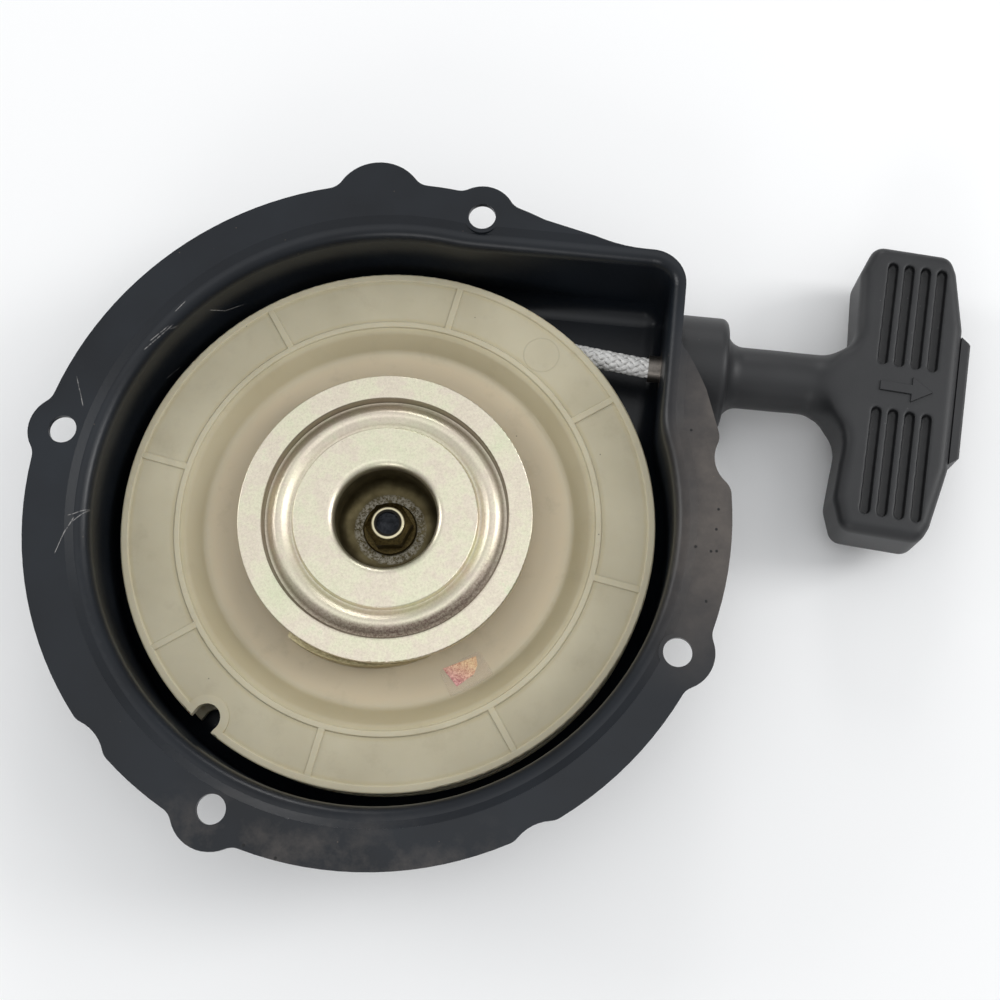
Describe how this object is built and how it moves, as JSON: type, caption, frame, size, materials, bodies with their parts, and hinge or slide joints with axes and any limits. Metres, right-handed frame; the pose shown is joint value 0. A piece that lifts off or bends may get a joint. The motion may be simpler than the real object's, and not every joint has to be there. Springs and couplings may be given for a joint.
{
  "type": "recoil starter",
  "caption": "Pull-cord recoil starter for a small engine: pressed steel flanged case, nylon rope reel, stepped drive plate with pawl, and a T-handle on a braided rope.",
  "frame": {"origin": "on the reel axis, in the plane of the mounting flange's face", "axes": "+Z out of the open side towards the engine, +X the way the rope is pulled, +Y across"},
  "size_m": [0.2621, 0.1987, 0.0426],
  "materials": {
    "case_coat": "semi-gloss near-black coat with light scuffs",
    "dark_steel": "blackened turned steel",
    "spring_steel": "tempered spring steel",
    "zinc_plate": "yellow zinc plate with faint iridescence",
    "nut_plate": "yellow zinc plate, darker than the plate",
    "guide_metal": "plain bright metal",
    "nylon": "natural cream nylon, slightly translucent",
    "bush_bronze": "sintered bronze",
    "rope": "white braid with grey flecks",
    "foil": "pink-gold foil",
    "pawl_steel": "plated pressed steel",
    "grip_plastic": "black moulded plastic, satin"
  },
  "bodies": {
    "housing": {"case_floor": "case_coat", "case_wall": "case_coat", "mounting_flange": "case_coat", "centre_post": "dark_steel", "thrust_washer": "spring_steel", "drive_plate": "zinc_plate", "flange_nut": "nut_plate", "rope_guide": "guide_metal", "spring_peg": "dark_steel", "mainspring": "spring_steel", "rope_lead": "rope"},
    "reel": {"reel": "nylon", "reel_bush": "bush_bronze", "rope_coil": "rope", "reel_knot": "rope", "pawl_pin": "dark_steel", "pawl_spring": "spring_steel", "friction_spring": "spring_steel", "inspection_label": "foil"},
    "pawl": {"pawl": "pawl_steel"},
    "handle": {"grip": "grip_plastic", "grip_cap": "grip_plastic", "grip_knot": "rope", "knot_washer": "guide_metal", "rope_tail": "rope"}
  },
  "joints": [
    {"name": "reel_spin", "type": "hinge", "parent": "housing", "child": "reel", "pos_m": [0, 0, -0.0345], "axis": [0, 0, -1], "range_deg": [0, 1080], "stiffness_Nm_per_rad": 0.02, "springref_deg": -721.93, "deforming": ["mainspring"]},
    {"name": "handle_pull", "type": "slide", "parent": "housing", "child": "handle", "axis": [1, 0, 0], "range_m": [0, 1.0741]},
    {"name": "pawl_swing", "type": "hinge", "parent": "reel", "child": "pawl", "pos_m": [0.01326, -0.03282, -0.0197], "axis": [0, 0, 1], "range_deg": [0, 15], "stiffness_Nm_per_rad": 0.01, "springref_deg": -20.05}
  ],
  "couplings": [
    {"joint": "handle_pull", "follows": "reel_spin", "m_per_rad": 0.0569}
  ]
}
